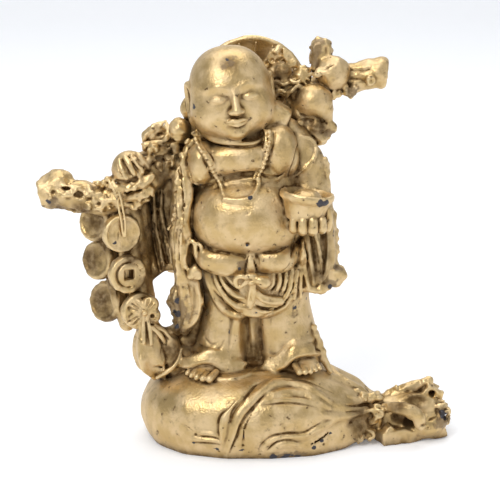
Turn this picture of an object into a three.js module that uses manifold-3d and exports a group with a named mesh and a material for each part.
// A gilded resin statuette, cast in one piece: a stout bald monk in an open robe stands on a tied cloth sack.
// He carries a knotted branch behind his shoulders, hung with coins, a pouch, a gourd, fruit and a hat.
// Millimetres, +Z up, the figure faces -Y, and the origin is the middle of the sack's flat underside.
import * as THREE from "three";
import { mergeVertices } from "three/addons/utils/BufferGeometryUtils.js";
import Module from "manifold-3d";

const wasm = await Module();
wasm.setup();

// Driving dimensions, in millimetres.
const SACK = { left: -27.6, right: 32, halfDepth: 21.6, top: 21.2, girthHeight: 7.2 };
const NECK_TIE = { x: 32.6, y: -3, z: 6.6, radius: 5.8 };
const TAIL = { length: 19.5, mouth: 9.8, pleats: 4, hollow: 6 };
const BELLY = { x: -0.6, y: -2.4, z: 60.3, rx: 15.2, ry: 13.2, rz: 11.4 };
const HEAD = { x: -4.9, y: -2.6, z: 91.8, rx: 10.6, ry: 10.2, rz: 12.4, lean: 0.11, turn: 0.12 };
const COAT = { y: 5.2, low: 22.5, high: 80.5 };
const BOWL = { x: 14.4, y: -12.8, rimZ: 68.2, rim: 6.7, foot: 4.7, height: 6.4, depth: 2.6 };
const HAT = { x: 0.6, y: 13.6, z: 89.6, radius: 14.2, thickness: 2.4 };
const COIN = { radius: 5, thickness: 2.4, rim: 0.9, recess: 0.5, hole: 2.2 };
const BACK_COIN = { radius: 5.1, thickness: 3 };
const LOWER_COIN = [-31.2, -5, 45.6];
const COIN_YAW = 0.42; // the front coins look a little to the figure's left
const COIN_FACING = [Math.sin(COIN_YAW), -Math.cos(COIN_YAW), 0];
const FLOOR_CUT = { width: 160, depth: 120, height: 12 }; // the block that trims the underside flat

const vec = (p) => new THREE.Vector3(p[0], p[1], p[2]);
const mix = (a, b, t) => a + (b - a) * t;
const mixPoint = (p, q, t) => p.map((value, i) => mix(value, q[i], t));
const TURN = Math.PI * 2;

// A closed surface of rings: pointAt(u, v) with u around and v along, and a fan at each end.
// tips gives how far each end's middle stands beyond its ring.
function skin(sides, rows, pointAt, tips = [0, 0]) {
  const positions = [];
  const ring = (v) => Array.from({ length: sides }, (_, i) => pointAt(i / sides, v));
  const middles = [];
  for (let row = 0; row <= rows; row++) {
    const points = ring(row / rows);
    points.forEach((p) => positions.push(p.x, p.y, p.z));
    if (row === 0 || row === rows) {
      const middle = new THREE.Vector3();
      points.forEach((p) => middle.addScaledVector(p, 1 / sides));
      middles.push(middle);
    }
  }
  const inner = ring(1 / rows).reduce((sum, p) => sum.addScaledVector(p, 1 / sides), new THREE.Vector3());
  const outer = ring(1 - 1 / rows).reduce((sum, p) => sum.addScaledVector(p, 1 / sides), new THREE.Vector3());
  const first = middles[0].clone().sub(inner).setLength(tips[0]).add(middles[0]);
  const last = middles[1].clone().sub(outer).setLength(tips[1]).add(middles[1]);
  positions.push(first.x, first.y, first.z, last.x, last.y, last.z);
  const index = [];
  const firstTip = (rows + 1) * sides;
  for (let i = 0; i < sides; i++) {
    const next = (i + 1) % sides;
    for (let row = 0; row < rows; row++) {
      const low = row * sides;
      const high = low + sides;
      index.push(low + i, low + next, high + next, low + i, high + next, high + i);
    }
    index.push(firstTip, next, i);
    index.push(firstTip + 1, rows * sides + i, rows * sides + next);
  }
  const geometry = new THREE.BufferGeometry();
  geometry.setAttribute("position", new THREE.Float32BufferAttribute(positions, 3));
  geometry.setIndex(index);
  return geometry;
}

// An oval of half-width a and half-depth b; power 2 is an ellipse, and more is squarer.
function oval(angle, a, b, power = 2) {
  const c = Math.cos(angle);
  const s = Math.sin(angle);
  const r = 1 / (Math.abs(c / a) ** power + Math.abs(s / b) ** power) ** (1 / power);
  return [r * c, r * s];
}

// An upright body of oval rings. A level is [z, x, y, half-width, half-depth].
// shape(angle, t) gives how much the ring is scaled and lifted there.
function column(levels, sides, { power = 2.3, shape = () => [1, 0], tips = [0, 0] } = {}) {
  const rows = levels.length - 1;
  return skin(sides, rows, (u, v) => {
    const [z, x, y, a, b] = levels[Math.round(v * rows)];
    const angle = u * TURN;
    const [scale, lift] = shape(angle, v);
    const [dx, dy] = oval(angle, a * scale, b * scale, power);
    return new THREE.Vector3(x + dx, y + dy, z + lift);
  }, tips);
}

// A round or flattened limb along a smooth path; radii are spread evenly along it.
function limb(path, radii, { sides = 5, rows = 0, squash = 1, tip = 0.55, ripple = () => 1 } = {}) {
  const curve = new THREE.CatmullRomCurve3(path.map(vec));
  const count = rows || path.length - 1;
  const frames = curve.computeFrenetFrames(count, false);
  const radiusAt = (v) => {
    const s = v * (radii.length - 1);
    const i = Math.min(Math.floor(s), radii.length - 2);
    return mix(radii[i], radii[i + 1], s - i);
  };
  return skin(sides, count, (u, v) => {
    const i = Math.round(v * count);
    const r = radiusAt(v) * ripple(u * TURN, v);
    const p = curve.getPointAt(v);
    return p
      .addScaledVector(frames.normals[i], Math.cos(u * TURN) * r)
      .addScaledVector(frames.binormals[i], Math.sin(u * TURN) * r * squash);
  }, [radii[0] * tip, radii[radii.length - 1] * tip]);
}

// An ellipsoid, turned about X, Y and Z.
function ball(centre, radii, { turn = [0, 0, 0], sides = 6, rings = 4 } = {}) {
  const geometry = new THREE.SphereGeometry(1, sides, rings);
  geometry.scale(...radii);
  geometry.rotateX(turn[0]).rotateY(turn[1]).rotateZ(turn[2]);
  return geometry.translate(...centre);
}

// A turned piece: profile is [radius, height] pairs from the axis back to the axis, and facing is its axis.
function turned(profile, centre, facing, sides = 12) {
  const geometry = new THREE.LatheGeometry(profile.map(([r, h]) => new THREE.Vector2(r, h)), sides);
  const axis = new THREE.Vector3(0, 1, 0);
  const swing = new THREE.Quaternion().setFromUnitVectors(axis, vec(facing).normalize());
  return geometry.applyQuaternion(swing).translate(...centre);
}

// A closed three.js geometry as a manifold solid, faced outwards.
function solid(geometry) {
  const bare = geometry.clone();
  ["normal", "uv"].forEach((name) => bare.deleteAttribute(name));
  const merged = mergeVertices(bare, 1e-4);
  const index = Array.from(merged.index.array);
  const triVerts = [];
  for (let i = 0; i < index.length; i += 3) {
    const [a, b, c] = index.slice(i, i + 3);
    if (a !== b && b !== c && c !== a) triVerts.push(a, b, c);
  }
  const build = (verts) => new wasm.Manifold(new wasm.Mesh({
    numProp: 3,
    vertProperties: new Float32Array(merged.attributes.position.array),
    triVerts: new Uint32Array(verts),
  }));
  const made = build(triVerts);
  if (made.volume() > 0) return made;
  const flipped = triVerts.map((_, i) => triVerts[i - (i % 3) + [0, 2, 1][i % 3]]);
  return build(flipped);
}

const join = (geometries) => geometries.map(solid).reduce((all, piece) => all.add(piece));

// The sack lies on its side and is carried along X: its section swells, then is drawn in to the tied neck.
function sackBody() {
  const stations = [0, 0.06, 0.18, 0.36, 0.55, 0.74, 0.88, 1];
  const width = [0.32, 0.62, 0.87, 1, 0.98, 0.84, 0.58, 0.27];
  const height = [0.34, 0.64, 0.9, 1, 1, 0.98, 0.82, 0.4];
  const rows = stations.length - 1;
  return skin(18, rows, (u, v) => {
    const i = Math.round(v * rows);
    const angle = u * TURN;
    const pucker = 1 + 0.1 * stations[i] ** 6 * Math.cos(7 * angle);
    const rise = (SACK.top - SACK.girthHeight) * height[i];
    const [dy, dz] = oval(angle, SACK.halfDepth * width[i] * pucker, rise * pucker, 2.5);
    const x = mix(SACK.left, SACK.right, stations[i]);
    const middle = SACK.girthHeight * mix(1, 0.86, stations[i] ** 2);
    return new THREE.Vector3(x, NECK_TIE.y * stations[i] ** 2 + dy, middle + dz);
  }, [1.6, 0]);
}

// The gathered mouth of the sack: a pleated cone that opens beyond the tie, with a hollow middle.
function sackTail() {
  return skin(22, 4, (u, v) => {
    const angle = u * TURN;
    const up = Math.sin(angle);
    const radius = mix(NECK_TIE.radius * 0.72, TAIL.mouth, v ** 0.8);
    const wave = Math.cos(TAIL.pleats * angle + 0.7 + 0.5 * v);
    const reach = 1 + 0.08 * wave - 0.2 * Math.max(0, up) ** 2;
    const x = NECK_TIE.x + TAIL.length * v * reach;
    const y = NECK_TIE.y + 1.6 * v + radius * 0.95 * (1 + (0.06 + 0.2 * v) * wave) * Math.cos(angle);
    const z = mix(NECK_TIE.z, 5, v) + radius * 0.84 * (1 + (0.06 + 0.16 * v) * wave) * up;
    return new THREE.Vector3(x, y, z);
  }, [0, -TAIL.hollow]);
}

// The cord round the neck of the sack, with its knot and loose end.
function sackTie() {
  const turns = Array.from({ length: 6 }, (_, i) => {
    const angle = mix(-0.3, 0.8, i / 5) * Math.PI;
    const r = NECK_TIE.radius;
    return [NECK_TIE.x - 0.3, NECK_TIE.y - r * Math.cos(angle), NECK_TIE.z - 0.4 + r * 0.9 * Math.sin(angle)];
  });
  return [
    limb(turns, [1.3, 1.3], { sides: 4 }),
    ball([32.8, -8.4, 7.6], [2, 1.7, 1.9]),
    ball([32, -9.2, 3.9], [1.9, 1.5, 1.9]),
    ball([30, -8.6, 1.6], [2.6, 1.9, 1.8]),
  ];
}

// Soft ridges of slack cloth, drawn from the front of the sack towards the tie.
function sackFolds() {
  return [
    limb([[23.6, -13.4, 10.4], [19.4, -14.4, 14], [12.6, -15.6, 17], [5.6, -17, 17.2], [0.4, -18.4, 16.6],
      [-3, -19.8, 14], [-4.2, -20.5, 9], [-6, -20.4, 0.6]], [0.9, 1.6, 1.8, 1.9, 1.7, 1.4], { rows: 9 }),
    limb([[-3, -19.2, 14.4], [-7.4, -19.8, 11.4], [-8.4, -20.2, 7], [-14.6, -18.8, 4]],
      [1.2, 1.6, 1.4, 0.9], { rows: 4 }),
    limb([[2.4, -20.8, 1.6], [5.2, -20.8, 5.6], [13.6, -19.2, 7], [24, -14, 10]],
      [1.2, 1.5, 1.5, 0.9], { rows: 4 }),
  ];
}

// Each trouser leg is a full, pleated column with a turned-out hem.
function trouserLegs() {
  const leg = (levels, phase) => column(levels, 15, {
    power: 2.5,
    shape: (angle, v) => {
      const hemWave = v < 0.25 ? 0.7 * Math.cos(3 * angle + phase) : 0;
      return [1 + 0.06 * (1 - v) * Math.cos(5 * angle + phase), hemWave];
    },
  });
  return [
    leg([[17, -8.4, 1, 8, 9], [21.4, -8.2, -0.2, 8.5, 9.8], [24.8, -6.9, 0.8, 7, 8.8], [37, -5, 1.6, 7, 9.6],
      [48, -5.2, 2, 8.2, 10.6]], 0.4),
    leg([[17, 11, 2, 8.4, 9], [21.8, 11.1, 0.6, 8.8, 10], [25.2, 10.4, 1.2, 8, 9.2], [37, 8.2, 1.6, 7.1, 9.6],
      [48, 7.4, 2, 8.6, 10.8]], 2.2),
    limb([[1.4, -8.2, 19.8], [1.2, -8.6, 27], [1.4, -9.6, 36]], [3, 2, 2.4]),
  ];
}

// A bare foot: a wedge whose front edge is a row of five toes, smaller to the outside.
function foot(heel, toes, width, outward) {
  const along = vec(toes).sub(vec(heel));
  const across = new THREE.Vector3(-along.y, along.x, 0).setLength(width * outward);
  const toeAt = (side) => [toes[0] + across.x * side, toes[1] + across.y * side + 0.5 * side ** 2, toes[2]];
  const lobes = (angle, v) => mix(1.18, 0.9, v) * (0.7 + 0.36 * Math.abs(Math.sin(5 * Math.PI * v)));
  return [
    limb([heel, mixPoint(heel, toes, 0.9)], [3.2, width * 1.05], { sides: 8, squash: 0.5 }),
    limb([toeAt(-1), toeAt(0), toeAt(1)], [1.25, 1.25], { rows: 10, tip: 0.3, ripple: lobes }),
  ];
}

// The cloth round the hips dips to a rounded hem in front and sags in swags, under a smooth waistband.
function hipWrap() {
  const levels = [[44.6, 1.2, 2, 15.8, 13.8], [45.6, 1.2, 1.8, 16.3, 14.4], [47.2, 1.1, 1.8, 15.6, 13.6],
    [48.8, 0.9, 1.8, 15.8, 14], [50.2, 0.7, 2, 15, 13.2], [59, 0.4, 2, 11.8, 10.6]];
  const dip = (angle) => Math.max(0, -Math.sin(angle)) ** 2.1;
  const skirt = column(levels, 20, {
    power: 2.25,
    shape: (angle, v) => [1, -9.2 * dip(angle) * (1 - v) ** 1.1],
  });
  const waist = [[-14, -5.6, 51.4], [-9.4, -11, 50.4], [-1, -13.4, 50], [7.4, -12.8, 50.2],
    [13.4, -7.6, 51.6]];
  const band = limb(waist, [1.8, 2.6, 2.8, 2.7, 1.8], { sides: 6, rows: 6, squash: 1.2 });
  return [skirt, band];
}

// The bow and ribbon ends of the belt.
function beltBow() {
  return [
    ball([0.4, -13.6, 45.8], [1.9, 2, 1.7]),
    ball([4.1, -12.9, 46.2], [2.6, 1.9, 1.8], { turn: [0, 0.3, 0] }),
    ball([-3.2, -12.9, 45.4], [2.5, 1.8, 1.5], { turn: [0, -0.5, 0] }),
    limb([[0, -13.4, 45], [-0.6, -13.2, 42], [-1.4, -12.8, 38]], [1, 1.2, 1.3], { squash: 0.8 }),
    limb([[1.4, -13.4, 44.8], [4, -13, 41.8], [9.2, -11.8, 39.6]], [1, 1.4, 1.5], { squash: 0.9 }),
  ];
}

// Bare belly, chest and breasts, with the rolls between them.
function torso() {
  return [
    ball([BELLY.x, BELLY.y, BELLY.z], [BELLY.rx, BELLY.ry, BELLY.rz], { sides: 14, rings: 8 }),
    column([[63, -0.4, 0, 14, 10.6], [68.6, -0.6, -0.6, 14.2, 10.8], [73, -0.8, -0.4, 14.2, 9.8],
      [77.4, -1.2, 0, 13, 8.8], [81, -2.4, 0.4, 9.4, 8]], 12),
    ball([-12, -6.4, 73], [3.9, 4.2, 5.3], { sides: 8, rings: 5 }),
    ball([9, -6.6, 72.6], [3.7, 4.2, 5.7], { turn: [0, -0.2, 0], sides: 7, rings: 5 }),
    limb([[-9.4, -8.6, 71.4], [-1.4, -10.8, 70.2], [6.4, -9.2, 71.2]], [1.1, 1.7, 1.1], { rows: 4 }),
    limb([[-10.6, -6.4, 80], [-3.6, -9.4, 77.8], [4, -7.4, 79.6]], [1.3, 1.6, 1.3], { rows: 4 }),
  ];
}

// The head is an egg with full cheeks; the face is calm, with its parts at the usual thirds and fifths.
function head() {
  const lean = new THREE.Matrix4()
    .makeRotationZ(HEAD.turn)
    .premultiply(new THREE.Matrix4().makeRotationY(-HEAD.lean))
    .setPosition(HEAD.x, HEAD.y, HEAD.z);
  const skull = skin(14, 8, (u, v) => {
    const latitude = (v - 0.5) * Math.PI * 0.92;
    const ring = Math.cos(latitude) ** 0.8;
    const [x, y] = oval(u * TURN, HEAD.rx * ring, HEAD.ry * ring, 2.2);
    return new THREE.Vector3(x, y, HEAD.rz * Math.sin(latitude));
  }, [0.3, 0.3]);
  const face = -HEAD.ry;
  const pair = (make) => [make(-1), make(1)];
  const features = [
    limb([[0, face + 0.2, 0.8], [0, face - 0.6, -1.6], [0, face - 0.9, -3.3]], [0.7, 1, 1.7]),
    ...pair((s) => ball([s * 4, face + 1.4, 0], [2.1, 1.2, 1], { turn: [0, 0, s * 0.3] })),
    ...pair((s) => limb([[s * 1.4, face + 0.1, 1.9], [s * 4, face + 0.8, 2.8], [s * 6.6, face + 2.5, 2]],
      [0.7, 0.8, 0.5])),
    limb([[-2.6, face + 2, -6.3], [0, face + 1.2, -6.6], [2.6, face + 2, -6.3]], [0.5, 1.1, 0.5]),
    ...pair((s) => limb([[s * 9.8, 0, 2.6], [s * 10.6, -0.4, -2], [s * 9.9, -1.2, -8.8]],
      [1.7, 1.8, 1.3], { squash: 0.7 })),
  ];
  return [skull, ...features].map((piece) => piece.applyMatrix4(lean));
}

// The coat hangs open in front: a wide pleated body behind, a lapel down each side of the belly.
function coat() {
  const { y, low, high } = COAT;
  const levels = [[low, -1.2, y - 0.6, 16.6, 9], [36, -1.8, y, 16.8, 9.4], [46, -0.4, y, 18, 9.4],
    [64, 0.6, y, 17.8, 9], [72, 0.8, y, 17.8, 8.8], [77.6, 0.8, y - 0.4, 15.8, 8],
    [high, -0.4, y - 0.4, 10, 6]];
  const body = column(levels, 20, {
    power: 2.6,
    shape: (angle, v) => {
      const hemWave = v === 0 ? 1.2 * Math.cos(4 * angle + 0.6) : 0;
      return [1 + 0.06 * (1 - v) * Math.cos(7 * angle + 1), hemWave];
    },
  });
  return [
    body,
    limb([[-11.6, -5, 81], [-16.2, -5.6, 73], [-17, -8, 60], [-16.4, -7.6, 46], [-14.8, -5.4, 33],
      [-14.6, -4.2, 25]], [1.8, 2.2, 1.9, 2.1, 1.9, 1.5], { rows: 7, squash: 1.35 }),
    limb([[-18.8, -1, 75], [-20, -3.4, 54], [-17.4, -2.8, 41], [-17.8, -1.5, 30]], [1.7, 2.1, 1.7, 1.5]),
    ball([-19, -2, 33.6], [1.7, 2, 2.6]),
    limb([[5.6, -6.4, 81.6], [9.6, -8.6, 76], [10.4, -9.6, 70], [13.6, -8.4, 60]], [1.8, 2.4, 2.2, 1.4],
      { rows: 4, squash: 1.3 }),
    limb([[14.4, 4, 34], [17.4, 3.4, 27], [20.8, 2.4, 19.6]], [2, 1.8, 1]),
    ball([8.4, -2.6, 84.8], [3.2, 3.5, 3.2], { sides: 7, rings: 5 }),
  ];
}

// The knobbed strap that hangs over the coat's edge.
function strap() {
  return [
    ball([-9.8, -11.8, 46.8], [2, 1.6, 1.9]),
    limb([[-9.6, -11, 45], [-9.9, -8.8, 37], [-13, -6.2, 27]], [1.1, 1.4, 0.9], { rows: 4, squash: 0.8 }),
  ];
}

// Fingers side by side: a bar with a swelling for each.
function fingerRow(path, radius, count) {
  const knuckles = (angle, v) => 0.74 + 0.34 * Math.abs(Math.sin(count * Math.PI * v));
  return limb(path, [radius, radius], { rows: count * 2, tip: 0.3, ripple: knuckles });
}

// The arm that holds the bowl, with the bowl resting on the finger tips.
function bowlArm() {
  return [
    limb([[11.6, 0.6, 76.6], [14.4, -0.8, 71.6], [14.8, -3, 65], [14.6, -8, 61], [14.6, -12.4, 60.6]],
      [5, 4.9, 4.4, 3.6, 3.2], { sides: 7, rows: 5 }),
    fingerRow([[9.6, -14, 60.4], [14.4, -16, 60], [19.4, -13.4, 60.4]], 1.9, 5),
    limb([[13.4, -5, 77.6], [17.6, -3.4, 72.4], [15.6, -6.6, 65.6]], [1.1, 1.4, 0.8], { rows: 4 }),
  ];
}

// The round dish on that hand: a flared rim, and a dome inside like the middle of an ingot.
function bowl() {
  const { rim, foot, height, depth } = BOWL;
  const outside = [[0, -height], [foot, -height], [foot + 0.5, -height * 0.75], [rim - 0.7, -1.6],
    [rim, -0.4]];
  const inside = [[rim - 0.3, 0.2], [rim - 2, -depth], [2.9, -depth], [1.8, -0.6], [0, 0]];
  return turned([...outside, ...inside], [BOWL.x, BOWL.y, BOWL.rimZ], [0.14, -0.06, 1], 14);
}

// The sleeve that hangs from the arm with the bowl, in deep upright folds.
function bowlSleeve() {
  return [
    column([[39.4, 15.4, -2.6, 4.2, 6], [46, 17, -2.4, 5.2, 6.6], [57, 17.6, -1.6, 4.7, 6],
      [68, 15.4, -0.8, 4, 5]], 15, {
      shape: (angle, v) => [1 + 0.1 * Math.cos(5 * angle + 2) * (1 - 0.6 * v), 0],
      tips: [0.8, 0],
    }),
    ball([22.2, -2.4, 43], [3, 3.2, 3.6]),
    limb([[20.6, -1.6, 54], [21.4, -2, 47]], [2, 2.4], { rows: 1 }),
  ];
}

// The raised arm, its hanging sleeve and the fist that grips the branch.
function branchArm() {
  return [
    limb([[-13, 2.4, 76], [-21, 0.4, 74], [-30, -3, 72.2]], [5.2, 4.5, 3.8], { sides: 8, rows: 4 }),
    ball([-31, -3.8, 72.2], [4.6, 4.6, 4.5], { sides: 8, rings: 5 }),
    fingerRow([[-33.8, -6.8, 72.4], [-30.8, -8, 73.2], [-27.4, -7, 73.8]], 2.2, 4),
    limb([[-25, -6.4, 70.2], [-28.4, -7.4, 68.6], [-31.8, -6.4, 67.6]], [1.4, 1.5, 1.2]),
    column([[44, -22, 2.6, 5.4, 5.8], [50, -22.2, 2.4, 5.8, 6.2], [62, -22, 2, 5.6, 5.6],
      [72, -20.4, 2, 5.4, 4.6]], 15, {
      shape: (angle, v) => {
        const hemSlant = v === 0 ? 1.2 * Math.sin(angle) : 0;
        return [1 + 0.13 * Math.cos(5 * angle + 1) * (1 - 0.6 * v), hemSlant];
      },
      tips: [0.6, 0],
    }),
  ];
}

// The branch: a thick, knotted pole from low at the figure's right hand to high behind its left shoulder.
function branch() {
  const path = [[-53, 0, 65.2], [-46, -0.4, 64.6], [-38.4, -1, 63.4], [-31.8, -1.6, 65.2], [-25.6, -1, 69.4],
    [-18, 3, 74.4], [-6, 12, 80], [8, 13, 85.6], [20, 11, 91.6], [33, 9, 95]];
  const knots = (angle, v) => 1 + 0.12 * Math.cos(3 * angle + 19 * v) * Math.cos(23 * v);
  return [
    limb(path, [3.4, 3.7, 3.6, 3.3, 3.1, 3, 3, 3.6, 4.1], { sides: 7, rows: 14, ripple: knots, tip: 0.15 }),
    ball([-50, 0, 66], [4.1, 3.9, 5], { turn: [0, -0.4, 0], sides: 7, rings: 5 }),
    ball([31.2, 6.2, 93.4], [1.9, 1.8, 1.7]),
    limb([[-36, -3.6, 66.4], [-30, -4.4, 66.4], [-23.4, -4.6, 69]], [1.1, 1.7, 1.6]),
  ];
}

// A coin with a raised rim; the square hole in the lower one is cut afterwards.
function coin(centre) {
  const { radius, thickness, rim, recess } = COIN;
  const face = thickness / 2;
  const edge = [[0, -face], [radius, -face], [radius, face]];
  const dish = [[radius - rim, face], [radius - rim * 1.25, face - recess], [0, face - recess]];
  return turned([...edge, ...dish], centre, COIN_FACING, 11);
}

// A plain coin of the back row.
function backCoin(centre) {
  const geometry = new THREE.CylinderGeometry(BACK_COIN.radius, BACK_COIN.radius, BACK_COIN.thickness, 9);
  return geometry.rotateZ(-0.35).translate(...centre);
}

// The hanging string: two coins on a thick backing strap in front, three plain coins behind.
function coinString() {
  const backing = skin(8, 3, (u, v) => {
    const [across, through] = oval(u * TURN, mix(3.7, 3.2, v), 3.4, 3);
    const c = Math.cos(COIN_YAW);
    const s = Math.sin(COIN_YAW);
    const x = mix(-33, -27.6, v) + across * c - through * s;
    return new THREE.Vector3(x, mix(-0.8, -1.4, v) + across * s + through * c, mix(64.6, 33.4, v));
  });
  return [
    backing,
    coin([-32.9, -4.8, 55.8]),
    coin(LOWER_COIN),
    ...[[-39.8, 1, 57], [-39, 1, 47], [-36.8, 1, 35.8]].map(backCoin),
    limb([[-36.4, -4.6, 67], [-33, -6, 62], [-32.2, -6, 56]], [0.9, 0.9, 0.7], { rows: 4 }),
    limb([[-28, 0.6, 62], [-27.6, 0.8, 47]], [2.2, 2.2], { rows: 1 }),
    limb([[-37, 1.4, 62], [-35.8, 1.6, 48], [-32.4, 0.6, 34]], [3, 3.2, 2.8]),
  ];
}

// The bow of cord and the pouch under it, which rests on the sack.
function pouch() {
  const crosses = [[[-29.8, -4.6, 34.4], [-27.6, -5.9, 36.4], [-25.6, -4.8, 38.6]],
    [[-25.6, -4.4, 34], [-27.4, -5.2, 36.7], [-29.8, -4.7, 39]]];
  return [
    ...crosses.map((path) => limb(path, [1.5, 1.1, 1.6])),
    limb([[-26.8, -5.4, 36], [-26.4, -6.6, 32], [-25.8, -7.6, 28]], [0.8, 1.1, 1.2], { squash: 0.7 }),
    column([[17, -24.2, -3.8, 2.6, 3], [20, -25, -4, 5, 5], [24.4, -25.6, -4.1, 5.3, 5.3],
      [29.6, -26.4, -3.8, 2.8, 3], [36.8, -27.6, -3.2, 3.3, 3.4]], 10, { power: 2, tips: [0.6, 0] }),
    limb([[-25, -2.6, 27.2], [-20, -0.6, 25], [-15, 0, 25.6]], [2, 2.6, 2.6], { sides: 6, rows: 3 }),
    ball([-18.6, -2.6, 20.4], [5.4, 5.6, 5]),
  ];
}

// The round hat carried behind the head, hollow side forward.
function hat() {
  const { radius, thickness } = HAT;
  const back = [[0, -thickness], [radius * 0.6, -thickness], [radius * 0.96, -0.4]];
  const front = [[radius, 0.7], [radius * 0.92, 1], [radius * 0.6, -0.6], [0, -0.6]];
  return turned([...back, ...front], [HAT.x, HAT.y, HAT.z], [0, -1, 0.1], 18);
}

// The gourd, the peach, and the fruit tied along the branch.
function fruit() {
  return [
    limb([[20, 6.8, 96], [18.8, 7.8, 98.6], [18.4, 8, 101.4]], [3, 2.8, 3.1],
      { sides: 8, rows: 2, tip: 0.9 }),
    ball([20.8, 6, 95], [4.6, 4.4, 4.7], { sides: 8, rings: 6 }),
    ball([24.2, 6, 90.8], [3, 2.8, 1.8]),
    ball([15.8, 3.6, 88.4], [5, 4.8, 5], { sides: 8, rings: 6 }),
    limb([[17, 3.2, 87], [20.4, 3.6, 83.4]], [4.4, 1.4], { sides: 6, rows: 1 }),
    ball([-17.8, -1.6, 82.6], [3.2, 3, 3.5], { sides: 7, rings: 5 }),
    ball([-15.4, 0.4, 87], [2.4, 2.4, 3.2]),
    ball([14, 4.6, 82.4], [5.4, 4.4, 3.6]),
    ball([-19.8, 0.4, 80.4], [3, 2.6, 2.6]),
    ball([-14.2, 0.8, 82.6], [2.6, 2.8, 3]),
    ball([9.4, 11, 93.4], [2.9, 4.6, 2.9]),
    ball([8.2, 12, 98.6], [3.4, 3.8, 2.6]),
  ];
}

// A leaf: a thin pointed oval.
function leaf(centre, long, wide, turn) {
  const geometry = skin(5, 2, (u, v) => {
    const [dy, dz] = oval(u * TURN, 0.9, wide * (v === 0.5 ? 1 : 0.55), 1.7);
    return new THREE.Vector3(mix(-long, long, v) * 0.7, dy, dz);
  }, [long * 0.3, long * 0.3]);
  geometry.rotateX(turn[0]).rotateY(turn[1]).rotateZ(turn[2]);
  return geometry.translate(...centre);
}

function leaves() {
  const places = [
    [[-23.4, -0.6, 81.6], 5.2, 2.8, [0.2, -0.7, 0.2]], [[-22, -2, 77.6], 5, 2.8, [0, 0.5, 0]],
    [[-17.6, -3, 77.2], 4.4, 2.6, [0.2, -1.1, 0]], [[17.6, 3.4, 79.8], 4, 3.2, [0, 0.9, 0]],
    [[20.6, 3.4, 80.6], 2.4, 1.6, [0, 1.2, 0]], [[12.4, 9, 95.6], 4.6, 2.8, [0, -0.5, 0]],
    [[7.6, 2.4, 88.6], 5, 2.6, [0.2, -0.3, 0]],
  ];
  return places.map(([centre, long, wide, turn]) => leaf(centre, long, wide, turn));
}

// The bead necklace: two strands down the chest to a flat clasp over the belly.
function necklace() {
  const strand = (path) => limb(path, [0.95, 0.95], {
    sides: 4, rows: 10, tip: 0.2, ripple: (angle, v) => 0.84 + 0.26 * Math.abs(Math.cos(5 * Math.PI * v)),
  });
  return [
    strand([[-13.6, -7, 79.6], [-11, -10.2, 74.4], [-8.2, -11.8, 70], [-6.2, -13.4, 66.4]]),
    strand([[5.6, -8.6, 81.4], [3.6, -10.2, 74.4], [2.4, -11.8, 70], [1.4, -13.8, 66.4]]),
    limb([[-6.2, -13.4, 66.4], [-2.4, -14.4, 65.8], [1.4, -13.8, 66.4]], [0.7, 0.9, 0.7]),
  ];
}

const everything = join([
  sackBody(), sackTail(), ...sackTie(), ...sackFolds(),
  ...trouserLegs(), ...foot([-7.6, -4, 22.6], [-14.2, -12.9, 20.2], 3.3, -1),
  ...foot([12, -3, 24.6], [14.8, -11.8, 22.2], 3.6, 1),
  ...hipWrap(), ...beltBow(), ...torso(), ...head(), ...coat(), ...strap(),
  ...bowlArm(), bowl(), ...bowlSleeve(), ...branchArm(), ...branch(),
  ...coinString(), ...pouch(), hat(), ...fruit(), ...leaves(), ...necklace(),
]);

// What is taken away: all below the table, and the square hole in the lower coin.
const floorBlock = new THREE.BoxGeometry(FLOOR_CUT.width, FLOOR_CUT.depth, FLOOR_CUT.height)
  .translate(0, 0, -FLOOR_CUT.height / 2);
const holeMiddle = vec(LOWER_COIN).addScaledVector(vec(COIN_FACING), COIN.thickness / 2);
const squareHole = new THREE.BoxGeometry(COIN.hole, COIN.hole, COIN.hole)
  .rotateZ(COIN_YAW)
  .translate(...holeMiddle);
const casting = everything.subtract(solid(floorBlock)).subtract(solid(squareHole));

function toGeometry(manifold) {
  const mesh = manifold.getMesh();
  const geometry = new THREE.BufferGeometry();
  geometry.setAttribute("position", new THREE.BufferAttribute(mesh.vertProperties, 3));
  geometry.setIndex(new THREE.BufferAttribute(mesh.triVerts, 1));
  geometry.computeVertexNormals();
  return geometry;
}

const gildedResin = new THREE.MeshStandardMaterial({ color: 0xb8975a, roughness: 0.42, metalness: 0.8 });
const statuette = new THREE.Mesh(toGeometry(casting), gildedResin);
statuette.name = "statuette";

const root = new THREE.Group();
root.add(statuette);
export default root;
